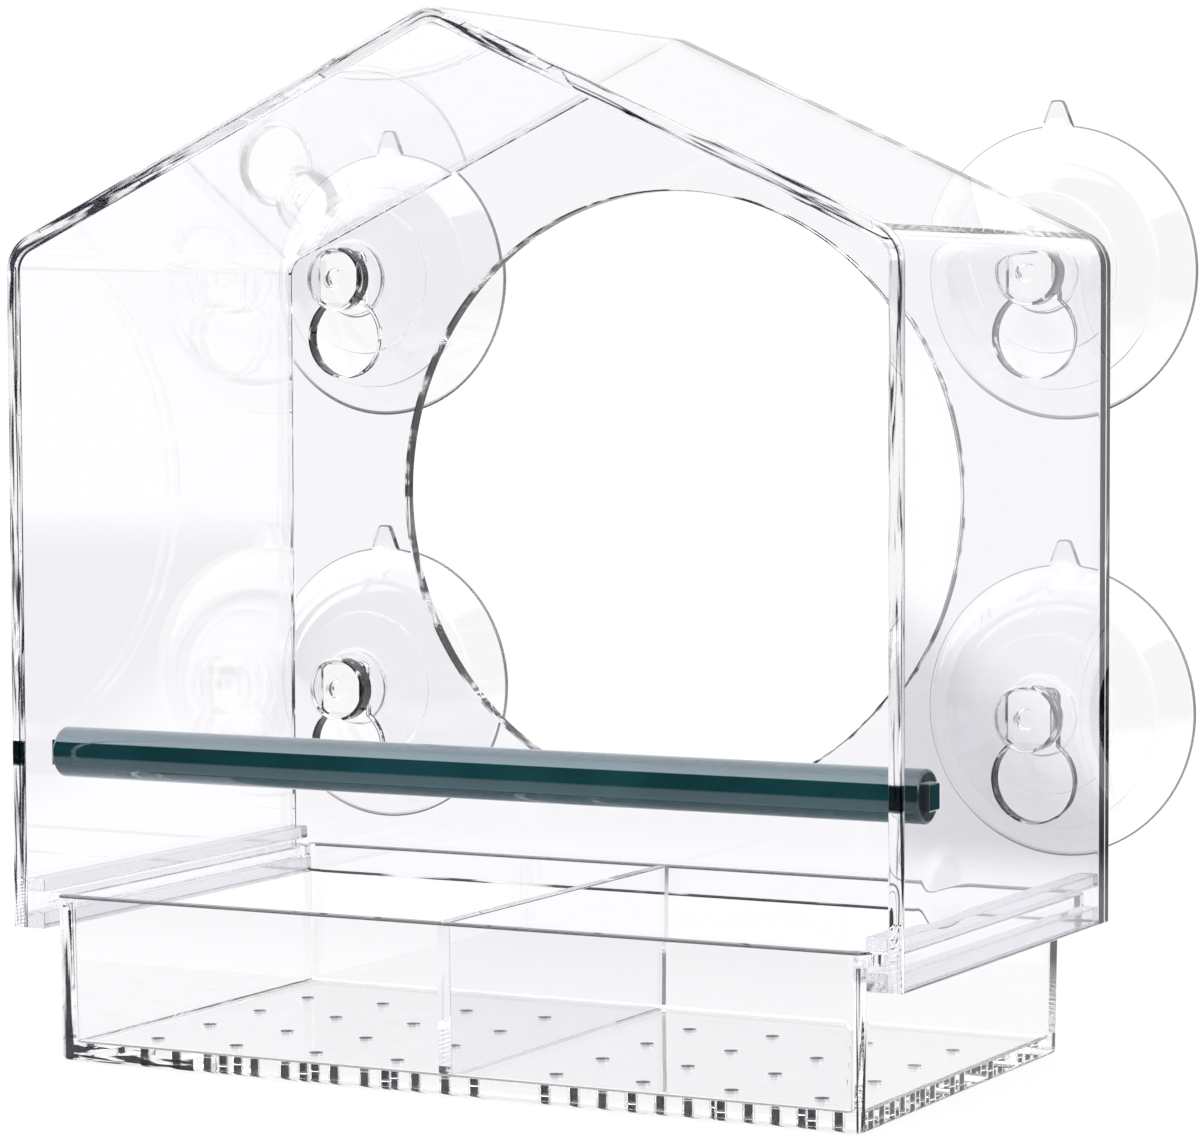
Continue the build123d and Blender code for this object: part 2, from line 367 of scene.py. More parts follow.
# The sawn front ends of the rails, with dark streaks of painted shade
sawnEndPaintedShade = clearPlastic("sawnAcrylicRailEndPaintedShade", {
    **castSheet, "roughness": 0.02, "streakScale": (220, 220, 220), "curl": 0.8, "streakEdges": (0.60, 0.76),
    "streakColour": "#303038"})
# Moulded acrylic of the tray: as clear as the sheet
moulded = {
    "colour": "#FEFEFF", "ior": 1.49, "roughness": 0.0, "shine": 0.25,
    "patternScale": (40, 40, 40), "waveStrength": 0.3, "waveHeight": 0.00012}
mouldedAcrylic = clearPlastic("mouldedClearAcrylic", moulded)
# Its rim is seen through the whole height of the wall below, so it shows as a dark line: painted shade in its
# colour
mouldedRimPaintedShade = clearPlastic("mouldedAcrylicRimPaintedShade", {**moulded, "colour": "#26262C"})
# Its corners have upright dark streaks of painted shade, about a millimetre apart
mouldedCornerPaintedShade = clearPlastic("mouldedAcrylicCornerPaintedShade", {
    **moulded, "streakScale": (800, 800, 35), "curl": 0.6, "streakEdges": (0.43, 0.52), "streakColour": "#050508"})
# and its foot has them lying down near the left corner
mouldedFootPaintedShade = clearPlastic("mouldedAcrylicFootPaintedShade", {
    **moulded, "streakScale": (110, 900, 900), "curl": 1.2, "streakEdges": (0.44, 0.50), "streakColour": "#040406"})
# The sides of the drain holes: a little rough, and darkened with painted shade
drainSidePaintedShade = clearPlastic("mouldedAcrylicDrainSidePaintedShade", {**moulded, "colour": "#34343A", "roughness": 0.02})
# Dark streaks low on the front of the divider's foot
dividerFootStreaks = clearPlastic("streakedAcrylicDividerFoot", {
    **castSheet, "roughness": 0.05, "streakScale": (600, 600, 600), "curl": 1.0, "streakEdges": (0.40, 0.50),
    "streakColour": "#050507"})
# Soft vinyl of the cups: clear with a wet shine; its thin rim gathers the colour of the whole dome, painted in as
# grey shade
vinyl = {
    "colour": "#FEFEFF", "ior": 1.53, "roughness": 0.0, "shine": 0.18,
    "patternScale": (120, 120, 120), "waveStrength": 0.2, "waveHeight": 0.00005}
softVinyl = clearPlastic("softClearVinyl", vinyl)
vinylRimPaintedShade = clearPlastic("softVinylRimPaintedShade", {**vinyl, "colour": "#50505A"})
# The right half of a knob's side and the flat sides of its neck: a painted reflection of the dark room, seen
# through their width
vinylKnobPaintedReflection = clearPlastic("softVinylKnobSidePaintedReflection", {
    **vinyl, "shine": 0.1, "streakScale": (500, 500, 90), "curl": 0.8, "streakEdges": (0.32, 0.44),
    "streakColour": "#020203"})


teal = {
    "roughness": 0.05, "tint": "#D0EDFF", "coatRoughness": 0.03, "coatIor": 1.6, "coatTint": "#E8F6FF",
    "lineScale": (16, 3500, 3500), "lineStrength": 0.08, "lineHeight": 0.00005,     # 0.15 mm apart, 60 mm long
    "cloudScale": 80.0, "clouds": ((0.35, "#123A3C"), (0.65, "#1A4649")),           # about 12 mm long
}


def extrudedTealPlastic():
    # Solid dark teal plastic rod, extruded: very glossy, with faint draw lines along it and cloudy pigment
    material, tree = newMaterial("extrudedTealPlastic")
    source = addNode(tree, "TexCoord").outputs["Object"]
    lines = addNode(tree, "Mapping", {"Vector": source, "Scale": teal["lineScale"]})
    drawn = addNode(tree, "TexNoise", {"Vector": lines, "Scale": 1.0, "Detail": 2.0})
    bump = addNode(tree, "Bump", {
        "Height": drawn, "Strength": teal["lineStrength"], "Distance": teal["lineHeight"]})
    clouds = addNode(tree, "TexNoise", {"Vector": source, "Scale": teal["cloudScale"], "Detail": 3.0})
    tone = addNode(tree, "ValToRGB", {"Fac": clouds})
    for stop, (spot, colour) in zip(tone.color_ramp.elements, teal["clouds"]):
        stop.position, stop.color = spot, linearColour(colour)
    plastic = addNode(tree, "BsdfPrincipled", {
        "Base Color": tone, "Normal": bump, "IOR": 1.5, "Roughness": teal["roughness"],
        "Specular Tint": linearColour(teal["tint"]), "Coat Weight": 1.0, "Coat IOR": teal["coatIor"],
        "Coat Roughness": teal["coatRoughness"], "Coat Tint": linearColour(teal["coatTint"])})
    addNode(tree, "OutputMaterial", {"Surface": plastic})
    return material


tealPlastic = extrudedTealPlastic()
print("materials made")


# House shell: one sheet bent at the eaves and the ridge

house = {
    "width": 152.0, "sheet": 2.5, "front": -39.7, "back": 41.3,
    "foot": 20.8, "ridge": 162.3, "bendRadius": 6.0,
    "edgeRadius": 0.32,          # flame polishing rounds the sawn edges
    "footRadius": 0.25,
    "holeHalf": 2.0,             # square holes for the perch's tenons
    "perchY": -28.7, "perchZ": 47.6,
    "bendSteps": 14, "edgeSteps": 4, "footSteps": 3,
    # How far sideways a face's normal has to be for the cut edge, and for the inside at the panel
    "edgeFacing": 0.3, "insideFacing": 0.9,
}
slope = 35.0 / 76.0
slopeLength = math.hypot(1, slope)


def housePath(inset):
    # The house outline drawn in from the outside of the sheet, from the right foot over the roof to the left
    half = house["width"] / 2 - inset
    ridge = house["ridge"] - inset * slopeLength
    eave = ridge - half * slope
    return [(half, house["foot"]), (half, eave), (0, ridge), (-half, eave), (-half, house["foot"])]


def withStops(points, normals, stops, axis):
    # Extra points where the straight runs cross the stops along one axis; runs under 1 mm are parts of arcs
    loop, face = np.vstack([points, points[:1]]), np.vstack([normals, normals[:1]])
    a, b = loop[:-1, None, axis], loop[1:, None, axis]
    stops = np.asarray(stops, float)[None]
    share = (stops - a) / np.where(np.abs(b - a) < 1e-9, 1, b - a)
    run, which = np.nonzero((share > 1e-6) & (share < 1 - 1e-6) & (np.abs(b - a) > 1))
    share = share[run, which][:, None]
    added = loop[run] * (1 - share) + loop[run + 1] * share
    order = np.argsort(np.r_[np.arange(len(points)), run + share[:, 0]], kind="stable")
    return np.vstack([points, added])[order], np.vstack([normals, face[run]])[order]


def houseShell():
    # The section, a thin rectangle across the sheet with rounded edges, carried along the middle of the sheet
    half, joint = house["sheet"] / 2, house["back"] - house["sheet"]
    holeY, holeZ = ([house[place] - house["holeHalf"], house[place] + house["holeHalf"]]
                    for place in ("perchY", "perchZ"))
    section = roundedOutline([(-half, house["front"]), (half, house["front"]), (half, house["back"]),
                              (-half, house["back"])], house["edgeRadius"], house["edgeSteps"])
    section = withStops(*section, [*holeY, joint], 1)
    path, outward = roundedOutline(housePath(half), house["bendRadius"] - half, house["bendSteps"], closed=False)
    # Each foot is rounded over its last quarter millimetre, and has stations at the perch's hole
    rise, draw, angle = quarterRound(house["footRadius"], house["footSteps"])
    rightFoot, leftFoot = (np.c_[0 * np.r_[rise, 0, 0] + end[0], np.r_[end[1] + rise, holeZ]]
                           for end in (path[0], path[-1]))
    path = np.vstack([rightFoot, path[1:-1], leftFoot[::-1]])
    count = len(rightFoot)
    outward = np.vstack([outward[:1].repeat(count, 0), outward[1:-1], outward[-1:].repeat(count, 0)])
    inset, lean = np.zeros(len(path)), np.zeros(len(path))
    inset[:len(draw)], inset[-len(draw):] = draw, draw[::-1]
    lean[:len(draw)], lean[-len(draw):] = -angle, angle[::-1]
    places, axisU, along = (np.c_[a, 0 * a, b] for a, b in (path.T, outward.T, (-outward[:, 1], outward[:, 0])))
    body = carryOutline(section, places, axisU, back, along, inset, lean)
    # Spots on the sheet: the way along the path, and the way round the section
    spots = [np.r_[0, np.cumsum(np.linalg.norm(np.diff(line, axis=0), axis=1))] for line in (path, section[0])]
    body["spots"] = np.stack(np.meshgrid(*spots, indexing="ij"), -1).reshape(-1, 2)
    # The faces at the perch's holes go out, and the four sides of each hole go in
    centre = faceCentres(body)
    body["faces"] = body["faces"][(np.abs(centre[:, 1] - house["perchY"]) > house["holeHalf"])
                                  | (np.abs(centre[:, 2] - house["perchZ"]) > house["holeHalf"])]
    centre = faceCentres(body)
    inside = np.tile(section[1][:, 0], len(path))[body["faces"]].mean(1) < -house["insideFacing"]
    # Cut edges get painted shade streaks; the inside at the panel on the right gets the joint's painted shade
    patches = parted(body, (1, faceNormals(body)[:, 1] < -house["edgeFacing"]),
                     (2, inside & (centre[:, 1] > joint) & (centre[:, 0] > 0)))
    for end in (0, -1):
        flat = section[0] - draw[0] * section[1]
        ring = places[end] + flat[:, :1] * axisU[end] + flat[:, 1:] * back
        patches.append(patch(ring, -up, [np.arange(len(ring))], 1))
    corners = [(holeY[0], holeZ[0]), (holeY[1], holeZ[0]), (holeY[1], holeZ[1]), (holeY[0], holeZ[1])]
    for side in (-1, 1):
        inner, outer = side * (house["width"] / 2 - house["sheet"]), side * house["width"] / 2
        for (y0, z0), (y1, z1) in zip(corners, corners[1:] + corners[:1]):
            patches.append(patch([(inner, y0, z0), (inner, y1, z1), (outer, y1, z1), (outer, y0, z0)],
                                 np.array([0, z0 - z1, y1 - y0]), [[0, 1, 2, 3]], 1))
    buildPiece("bent_house_sheet", patches, [bentAcrylic, flamedEdgePaintedShade, jointPaintedShade], "house",
               ["house_shell"])


houseShell()


# Back panel: the flat sheet with the round window and the keyholes

panel = {
    "glueFilm": 0.05, "windowRadius": 50.0, "windowZ": 86.8, "edgeRadius": 0.28,
    "entryRadius": 6.7, "entryDrop": 10.0,
    "slotHalf": 3.85, "slotReach": 4.45, "slotCorner": 1.3,
    "windowSteps": 200, "arcSteps": 90, "slotSteps": 8, "cornerSteps": 10, "spacing": 0.25, "softness": 0.22,
    "arcLeft": 2.0,              # the painted shade of a keyhole's arc lies further left of its middle than this
    "footCorner": 0.5,
}
cups = {"lower_left": (-62.3, 52.8), "lower_right": (62.3, 52.8),
        "upper_left": (-62.3, 123.0), "upper_right": (62.3, 123.0)}


def keyholeOutline(x, z):
    # A circle with a slot above it: the arc from where the slot leaves it, run backwards, then up and over
    half, radius, entry = panel["slotHalf"], panel["entryRadius"], z - panel["entryDrop"]
    opening = math.asin(half / radius)
    angle = math.pi / 2 - opening - np.linspace(0, 2 * math.pi - 2 * opening, panel["arcSteps"])
    arc = np.array([x, entry]) + radius * np.stack([np.cos(angle), np.sin(angle)], 1)
    top = z + panel["slotReach"]
    slot = roundedOutline([(x - half, entry), (x - half, top), (x + half, top), (x + half, entry)],
                          panel["slotCorner"], panel["slotSteps"], closed=False)[0]
    return softenedOutline(np.vstack([arc, slot[1:-1]]), panel["spacing"], panel["softness"])


def backPanel():
    inset = house["sheet"] + panel["glueFilm"]
    bends = [house["bendRadius"] - inset] * 3
    outline = roundedOutline(housePath(inset), [panel["footCorner"], *bends, panel["footCorner"]],
                             panel["cornerSteps"])
    window = holeOutline((0, panel["windowZ"]), panel["windowRadius"], panel["windowSteps"])
    keyholes = [keyholeOutline(x, z) for x, z in cups.values()]
    # The sheet's thickness runs along +Y, and right, up and back turn the outline the other way round
    edge, windowRim, *others = slab(outline, [window, *keyholes], (0, house["back"] - house["sheet"], 0),
                                    right, up, back, house["sheet"], panel["edgeRadius"], 0, 1)
    edge["finish"] = 0
    # The foot of the panel's edge takes its painted shade
    patches = parted(edge, (3, faceCentres(edge)[:, 2] < house["foot"] + panel["edgeRadius"]))
    for rim, (x, z) in zip(others, cups.values()):
        middle = faceCentres(rim)
        # The left arcs of the keyholes take their painted shade
        patches += parted(rim, (2, (middle[:, 0] < x - panel["arcLeft"]) & (middle[:, 2] < z - panel["slotReach"])))
    patches += [windowRim, *others[len(cups):]]
    buildPiece("windowed_back_panel", patches, [castAcrylic, routedRimPaintedShade, keyholeArcPaintedShade, panelFootPaintedShade], "house",
               ["back_panel"])


backPanel()


# Rails: two strips on each wall with the groove for the tray's lip between them

rails = {
    "inner": 70.15, "outer": 73.45, "front": -39.7, "length": 78.45,
    "lower": (20.8, 23.5), "upper": (26.6, 28.7), "cornerRadius": 0.3, "cornerSteps": 3, "edgeRadius": 0.2,
}


def rail(side, level):
    # A rounded rectangle carried along the wall
    low, high = rails[level]
    a, b = sorted((side * rails["inner"], side * rails["outer"]))
    outline = roundedOutline([(a, low), (b, low), (b, high), (a, high)], rails["cornerRadius"],
                             rails["cornerSteps"])
    patches = slab(outline, [], (0, rails["front"], 0), right, up, back, rails["length"], rails["edgeRadius"], 1, 0)
    node = f"{'left' if side < 0 else 'right'}_{level}_rail"
    buildPiece("bonded_" + node, patches, [sawnStripPaintedShade, sawnEndPaintedShade], "house", [node])


for side in (-1, 1):
    for level in ("lower", "upper"):
        rail(side, level)


# Tray: a drafted box with a lip along each side and drain holes in its floor

tray = {
    "halfX": 69.25, "halfY": 38.2, "height": 26.0, "wall": 2.0, "floor": 2.6,
    "draft": math.radians(1), "cornerRadius": 1.6, "innerCorner": 1.5,
    "lipReach": 3.0, "lipBottom": 23.8, "lipEnd": 36.2, "lipCorner": 0.8, "lipRoot": 0.4,
    "rimRadius": 0.35, "footRadius": 0.7, "floorRadius": 0.8, "lipEdge": 0.25, "lipFrom": 8.0,
    "cornerSteps": 7, "lipRootSteps": 4, "lipSteps": 5, "innerSteps": 6,
    "drainRadius": 1.0, "drainEdge": 0.15, "drainSteps": 28, "drainEdgeSteps": 2,
    "drainX": (13.8, 14.6, 4), "drainY": (-26.2, 15.0, 4),      # the first, the pitch and how many
    "lipFade": 1.5,              # the wall's draft fades out over the lip's root divided by this
    "footShadeEnd": -44.0,            # the foot's painted shade streaks reach this far from the left corner
    "cornerEnd": -66.2,          # and the upright ones this far
    "cornerTurn": 0.15,          # a corner's normal is turned from both axes by more than this
}


def trayShell():
    t = tray
    x, y, e, lip = t["halfX"], t["halfY"], t["lipEnd"], t["halfX"] + t["lipReach"]
    height, slant, near = t["height"], math.tan(t["draft"]), 1e-6
    wallOutline = roundedOutline([(-x, -y), (x, -y), (x, y), (-x, y)], t["cornerRadius"], t["cornerSteps"])
    wallCorner, lipRoot, lipTip = ((t[a], t[b]) for a, b in (
        ("cornerRadius", "cornerSteps"), ("lipRoot", "lipRootSteps"), ("lipCorner", "lipSteps")))
    radii, steps = zip(*[wallCorner, wallCorner, lipRoot, lipTip, lipTip, lipRoot] * 2)
    rimOutline = roundedOutline([(-x, -y), (x, -y), (x, -e), (lip, -e), (lip, e), (x, e),
                                 (x, y), (-x, y), (-x, e), (-lip, e), (-lip, -e), (-x, -e)],
                                radii, steps)
    wallOutline, rimOutline = (withStops(*o, [t["cornerEnd"], t["footShadeEnd"]], 0)
                               for o in (wallOutline, rimOutline))
    inX, inY = x - t["wall"], y - t["wall"]
    cavity = roundedOutline([(-inX, -inY), (-inX, inY), (inX, inY), (inX, -inY)], t["innerCorner"],
                            t["innerSteps"])

    def atHeights(z):
        return np.stack([0 * z, 0 * z, z], 1)

    # Outside of the wall, from the rounded foot to the underside of the lips
    rise, draw, angle = quarterRound(t["footRadius"])
    z = np.r_[rise, t["floor"], t["lipBottom"]]
    inset = (height - z) * slant + np.r_[draw, 0, 0]
    wall = carryOutline(wallOutline, atHeights(z), right, back, up, inset, np.r_[-angle, 0, 0])
    footLoop = wallOutline[0] - inset[0] * wallOutline[1]
    sideways, lengthways = np.abs(faceNormals(wall))[:, :2].T
    middle = faceCentres(wall)
    front, lying = middle[:, 1] < 0, lengthways > sideways
    # Painted shade: upright dark streaks on the corners, lying ones on the foot near the left corner
    corner = (np.minimum(sideways, lengthways) > t["cornerTurn"]) & (front | (middle[:, 0] > 0))
    corner |= front & lying & (middle[:, 0] < t["cornerEnd"])
    foot = front & lying & (middle[:, 0] < t["footShadeEnd"]) & (middle[:, 2] < t["floor"]) & ~corner
    patches = parted(wall, (2, corner), (3, foot))
    # The rim with its lips: the wall's draft fades out where the outline leaves the wall for the lip
    points, normals = rimOutline
    fade = np.where(np.abs(points[:, 1]) > e - near, 1, t["lipFade"])
    onWall = 1 - np.clip((np.abs(points[:, 0]) - x) / t["lipRoot"] * fade, 0, 1)
    lipRise, lipDraw, lipAngle = quarterRound(t["lipEdge"])
    rimDrop, rimDraw, rimAngle = (values[::-1] for values in quarterRound(t["rimRadius"]))
    z = np.r_[t["lipBottom"] + lipRise, height - rimDrop]
    lipInset, rimInset = np.r_[lipDraw, 0 * rimDraw], np.r_[0 * lipDraw, rimDraw]
    inset = ((height - z) * slant)[:, None] * onWall + lipInset[:, None] * (1 - onWall) + rimInset[:, None]
    lean = np.r_[-lipAngle, 0 * rimAngle][:, None] * (1 - onWall) + np.r_[0 * lipAngle, rimAngle][:, None]
    flat = points[None] - inset[..., None] * normals[None]
    solid = np.concatenate([flat, np.broadcast_to(z[:, None, None], (*flat.shape[:2], 1))], 2)
    leaned = np.concatenate([np.cos(lean)[..., None] * normals[None], np.sin(lean)[..., None]], 2)
    rim = gridPatch(solid, leaned)
    middle = faceCentres(rim)
    # The front and back rims take the rim's painted shade
    patches += parted(rim, (1, (np.abs(middle[:, 1]) > e) & (middle[:, 2] > height - t["rimRadius"])))
    rimLoop, lipLoop = flat[-1], flat[0]
    # Inside of the wall, from the rim down to the rounded corner with the floor
    rimDrop, rimDraw, rimAngle = quarterRound(t["rimRadius"])
    floorRise, floorDraw, floorAngle = (values[::-1] for values in quarterRound(t["floorRadius"]))
    z = np.r_[height - rimDrop, t["floor"] + floorRise]
    inset = np.r_[rimDraw, -floorDraw] - (height - z) * slant
    inside = carryOutline(cavity, atHeights(z), right, back, up, inset, np.r_[rimAngle, floorAngle])
    middle = faceCentres(inside)
    patches += parted(inside, (1, (np.abs(middle[:, 1]) > inY - t["rimRadius"])
                               & (middle[:, 2] > height - t["rimRadius"])))
    mouthLoop, floorLoop = (cavity[0] - inset[k] * cavity[1] for k in (0, -1))
    # Flat faces: the rim, the undersides of the lips, the floor and the foot
    for top in fillPatch([rimLoop, mouthLoop], lambda f: np.c_[f, np.full(len(f), height)], up):
        patches += parted(top, (1, np.abs(faceCentres(top)[:, 1]) > e))
    for sign in (-1, 1):
        strip = lipLoop[(np.sign(lipLoop[:, 0]) == sign) & (np.abs(lipLoop[:, 1]) < e + t["lipRoot"] + near)
                        & (np.abs(points[:, 0]) > x - near)
                        & (np.abs(points[:, 1]) <= y - t["cornerRadius"] + near)]
        # Put in order by their direction from a place inside the wall
        strip = strip[np.argsort(np.arctan2(strip[:, 1], sign * strip[:, 0] - x + t["lipFrom"]))]
        ring = np.c_[strip, np.full(len(strip), t["lipBottom"])]
        patches.append(patch(ring, -up, [np.arange(len(ring))]))
    gridX, gridY = (start + pitch * np.arange(count) for start, pitch, count in (t["drainX"], t["drainY"]))
    drains = [holeOutline((side * gx, gy), t["drainRadius"], t["drainSteps"])
              for side in (-1, 1) for gx in gridX for gy in gridY]
    depth, widen, lean = roundedEnds(t["floor"], t["drainEdge"], t["drainEdgeSteps"])
    # The sides of the drain holes take their painted shade
    patches += [carryOutline(drain, atHeights(depth), right, back, up, widen, lean, 4) for drain in drains]
    mouths = [p - t["drainEdge"] * n for p, n in drains]
    patches += fillPatch([floorLoop, *mouths], lambda f: np.c_[f, np.full(len(f), t["floor"])], up)
    patches += fillPatch([footLoop, *mouths], lambda f: np.c_[f, np.zeros(len(f))], -up)
    buildPiece("moulded_tray", patches, [mouldedAcrylic, mouldedRimPaintedShade, mouldedCornerPaintedShade, mouldedFootPaintedShade, drainSidePaintedShade],
               "tray", ["tray"])


trayShell()


# Tray divider: the plate bonded across the middle

divider = {
    "thickness": 2.2, "topHalf": 36.15, "footHalf": 35.742, "foot": 2.65, "top": 26.0, "edgeRadius": 0.15,
    "footCorner": 0.8, "topCorner": 0.3, "cornerSteps": 4,
    "footStreakTop": 4.2,           # how far up the streaks reach
    "rimFacing": 0.3,            # a top rim's normal is turned up and sideways by more than this
}


def trayDivider():
    d = divider
    corners = [(-d["footHalf"], d["foot"]), (d["footHalf"], d["foot"]), (d["topHalf"], d["top"]),
               (-d["topHalf"], d["top"])]
    outline = roundedOutline(corners, [d["footCorner"]] * 2 + [d["topCorner"]] * 2, d["cornerSteps"])
    outline = withStops(*outline, [d["footStreakTop"]], 1)
    edge, *faces = slab(outline, [], (-d["thickness"] / 2, 0, 0), back, up, right, d["thickness"], d["edgeRadius"])
    middle, facing = faceCentres(edge), unit(faceNormals(edge))
    streakedFoot = (middle[:, 1] < 0) & (middle[:, 2] < d["footStreakTop"])
    # The two top rims take their painted shade
    rim = (facing[:, 2] > d["rimFacing"]) & (np.abs(facing[:, 0]) > d["rimFacing"])
    buildPiece("bonded_tray_divider", [*parted(edge, (1, streakedFoot), (2, rim)), *faces],
               [castAcrylic, dividerFootStreaks, sawnRimPaintedShade], "tray", ["tray_divider"])


trayDivider()


# Perch: the rod and its square tenons

perch = {"radius": 4.0, "half": 73.4, "tenonEnd": 76.0, "tenonHalf": 1.95, "tenonCorner": 0.3,
         "chamfer": 0.5, "tenonEdge": 0.15, "steps": 96}


def squareReach(angle, halfX, halfZ, corner):
    # How far a rounded rectangle reaches in each direction, and its normal there
    c, s = np.abs(np.cos(angle)), np.abs(np.sin(angle))
    reach = np.minimum(halfX / np.maximum(c, 1e-9), halfZ / np.maximum(s, 1e-9))
    mid = np.array([halfX - corner, halfZ - corner])
    dot = c * mid[0] + s * mid[1]
    arc = dot + np.sqrt(np.maximum(dot ** 2 - mid @ mid + corner ** 2, 0))
    inCorner = (reach * c > mid[0]) & (reach * s > mid[1])
    reach = np.where(inCorner, arc, reach)
    spot = np.stack([reach * c, reach * s], 1)
    normal = np.where(inCorner[:, None], (spot - mid) / corner,
                      np.stack([reach * c > mid[0], reach * s > mid[1]], 1).astype(float))
    return reach, unit(normal * np.stack([np.sign(np.cos(angle)), np.sign(np.sin(angle))], 1) + 1e-12)


def perchRod():
    # Turned about its own axis: each ring is a place along the axis with a reach for every angle
    p = perch
    angle = np.linspace(0, 2 * math.pi, p["steps"], endpoint=False) + math.pi / p["steps"]
    spokes = np.stack([0 * angle, np.cos(angle), np.sin(angle)], 1)
    middle = np.array([0, house["perchY"], house["perchZ"]])

    def rings(x, reach, lean, facing, way):
        # Each ring leans from the way that its side faces to the way along the rod
        lean = lean[:, None, None]
        points = middle + x[:, None, None] * right + reach[..., None] * spokes
        return gridPatch(points, np.cos(lean) * facing + np.sin(lean) * way)

    depth, draw, lean = roundedEnds(2 * p["half"], p["chamfer"])
    patches = [rings(depth - p["half"], (p["radius"] - draw)[:, None], lean, spokes, right)]
    reach, facing = squareReach(angle, p["tenonHalf"], p["tenonHalf"], p["tenonCorner"])
    depth, draw, lean = (values[::-1] for values in quarterRound(p["tenonEdge"]))
    for sign in (-1, 1):
        shoulder = middle + sign * p["half"] * right
        patches.append(gridPatch(np.stack([shoulder + (p["radius"] - p["chamfer"]) * spokes,
                                           shoulder + reach[:, None] * spokes]), sign * right))
        tenon = rings(sign * np.r_[p["half"], p["tenonEnd"] - depth], reach - np.r_[0, draw][:, None],
                      np.r_[0, lean], np.c_[0 * angle, facing], sign * right)
        patches += [tenon, fanPatch(tenon["points"][-len(angle):], middle + sign * p["tenonEnd"] * right,
                                    sign * right)]
    buildPiece("teal_perch_rod", patches, [tealPlastic], "house", ["perch"])


perchRod()


# Suction cups: knob, squared neck, hub and a dome with two raised rings and a pull tab

cup = {
    # Corners of the turned profiles: radius, place along the axis and rounding. The knob runs from its dimple
    # over its side to its back, and the dome from the hub over the two rings to where the tab starts.
    "knob": ((0.3, 37.1, 0), (1.6, 37.1, 0.5), (1.7, 35.5, 0.2), (5.4, 35.5, 0.5), (5.4, 38.5, 0.25),
             (4.9, 38.5, 0)),
    "dome": ((5.9, 41.6, 0), (6.3, 41.6, 0.3996), (6.3, 43.2, 0.9), (12.8, 45.7, 0.22), (12.8, 46.3, 0.22),
             (18.6, 48.9, 0.22), (18.6, 49.5, 0.22), (22.66, 52.9, 0)),
    "profileSteps": 5,
    # The knob's side has the painted reflection of the dark room from this radius and this far to the right
    "shadeRadius": 4.9, "shadeRight": 1.0,
    "neckHalfX": 3.55, "neckHalfZ": 4.15, "neckCorner": 1.0,
    "neckFacing": 0.7,           # a flat side's normal is turned sideways by more than this
    "rimRadius": 23.5, "rimFront": 53.6, "rimBack": 54.1, "land": 22.6, "rimEdge": 0.12, "rimBevel": 0.3,
    "hollowRadius": 22.5, "hollowTop": 46.3, "hollowSteps": 16, "hollowPole": 0.02,
    "tabHalf": 2.5, "tabTip": 27.5, "tabSlope": 0.375,
    "tabTurn": 1.2,              # the tab's lines are only followed this far round from the top, in radians
    "tabBlend": 0.35, "tabBlendAt": 24.0, "tabFade": 0.8,
    # Steps round the axis in degrees, and the finer ones across the tab at the top
    "turn": 3.0, "tabFrom": 81, "tabTo": 99.1, "tabStep": 0.5, "tabClear": 10,
}


